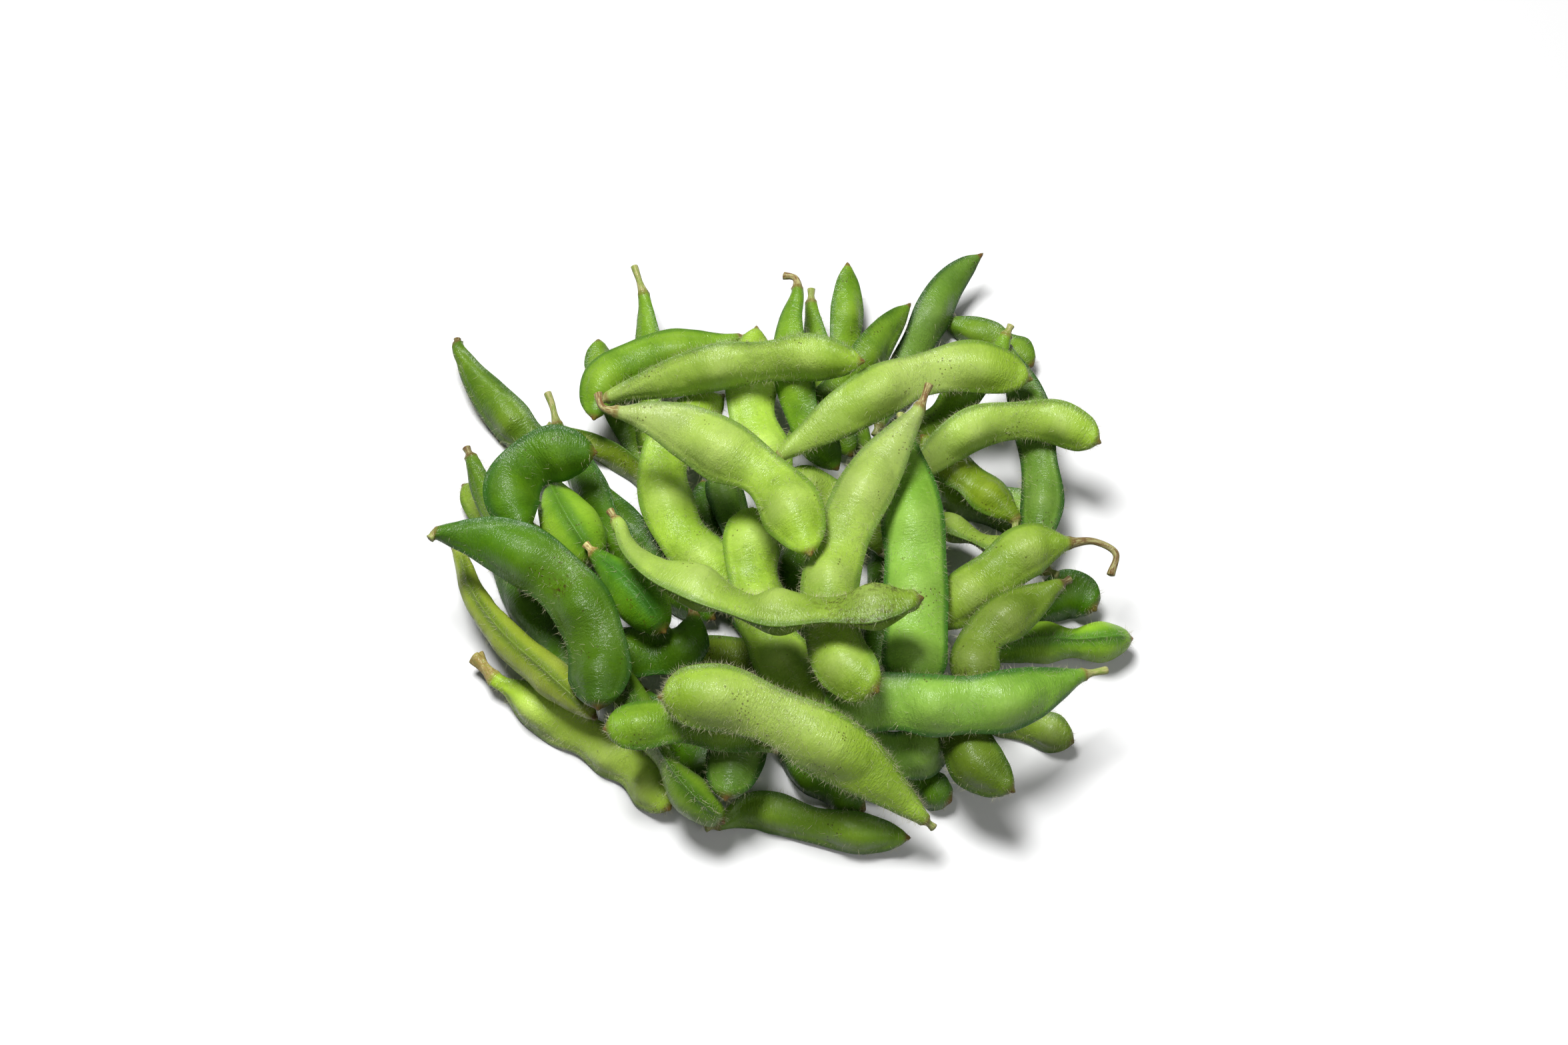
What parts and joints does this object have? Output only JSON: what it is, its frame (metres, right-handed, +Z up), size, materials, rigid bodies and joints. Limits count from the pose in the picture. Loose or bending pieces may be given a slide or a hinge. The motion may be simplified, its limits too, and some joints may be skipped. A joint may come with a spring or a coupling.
{
  "type": "edamame pod bundle",
  "caption": "Loose heap of fresh green edamame pods with bean bulges, tapered necks, cut stalks, calyx rings and small beaks, lying on a flat surface.",
  "frame": {"origin": "on the surface that the heap lies on, under the centre of the heap's box", "axes": "+Z up; +X across the heap as seen from the front; +Y away from the front of the heap"},
  "size_m": [0.1562, 0.1522, 0.0473],
  "materials": {
    "skin_yellow_green": "fresh pod skin, semi-gloss with broken wet glints, fine slanting veins and short pale down",
    "skin_fresh_green": "fresh pod skin, semi-gloss with broken wet glints, fine slanting veins and short pale down",
    "skin_grey_green": "fresh pod skin, semi-gloss with broken wet glints, fine slanting veins and short pale down",
    "skin_olive_green": "fresh pod skin, semi-gloss with broken wet glints, fine slanting veins and short pale down",
    "skin_deep_green": "fresh pod skin, semi-gloss with broken wet glints, fine slanting veins and short pale down",
    "pod_down": "short pale hairs of the pod skin, translucent straw colour"
  },
  "bodies": {
    "root": {"pod_inner_front_1": "skin_deep_green", "pod_inner_left_1": "skin_deep_green", "pod_inner_left_3": "skin_deep_green", "pod_inner_right_1": "skin_fresh_green", "pod_inner_left_2": "skin_deep_green", "pod_front_under_1": "skin_olive_green", "pod_front_under_2": "skin_deep_green", "pod_front_under_3": "skin_deep_green", "pod_front_under_4": "skin_deep_green", "pod_right_under_1": "skin_grey_green", "pod_back_1": "skin_fresh_green", "pod_left_under_1": "skin_olive_green", "pod_back_2": "skin_fresh_green", "pod_back_3": "skin_fresh_green", "pod_back_4": "skin_fresh_green", "pod_back_5": "skin_grey_green", "pod_back_6": "skin_fresh_green", "pod_right_1": "skin_grey_green", "pod_right_2": "skin_deep_green", "pod_inner_right_2": "skin_deep_green", "pod_inner_1": "skin_grey_green", "pod_left_1": "skin_yellow_green", "pod_left_2": "skin_fresh_green", "pod_left_3": "skin_deep_green", "pod_back_7": "skin_fresh_green", "pod_back_8": "skin_fresh_green", "pod_inner_2": "skin_yellow_green", "pod_inner_3": "skin_fresh_green", "pod_inner_4": "skin_fresh_green", "pod_right_3": "skin_olive_green", "pod_right_4": "skin_yellow_green", "pod_inner_5": "skin_yellow_green", "pod_front_1": "skin_fresh_green", "pod_front_5": "skin_yellow_green", "pod_front_3": "skin_fresh_green", "pod_front_2": "skin_grey_green", "pod_right_5": "skin_yellow_green", "pod_right_6": "skin_fresh_green", "pod_middle_1": "skin_yellow_green", "pod_middle_2": "skin_yellow_green", "pod_left_4": "skin_fresh_green", "pod_left_5": "skin_deep_green", "pod_left_8": "skin_fresh_green", "pod_left_6": "skin_deep_green", "pod_left_7": "skin_deep_green", "pod_left_9": "skin_yellow_green", "pod_front_4": "skin_fresh_green", "pod_right_7": "skin_fresh_green", "pod_right_8": "skin_yellow_green", "pod_right_9": "skin_yellow_green", "pod_right_10": "skin_grey_green", "pod_right_11": "skin_yellow_green", "pod_top_1": "skin_deep_green", "pod_top_2": "skin_grey_green", "pod_top_3": "skin_yellow_green", "pod_top_4": "skin_yellow_green", "pod_top_5": "skin_yellow_green", "pod_top_6": "skin_yellow_green", "pod_top_7": "skin_yellow_green", "pod_top_8": "skin_yellow_green"}
  },
  "joints": []
}
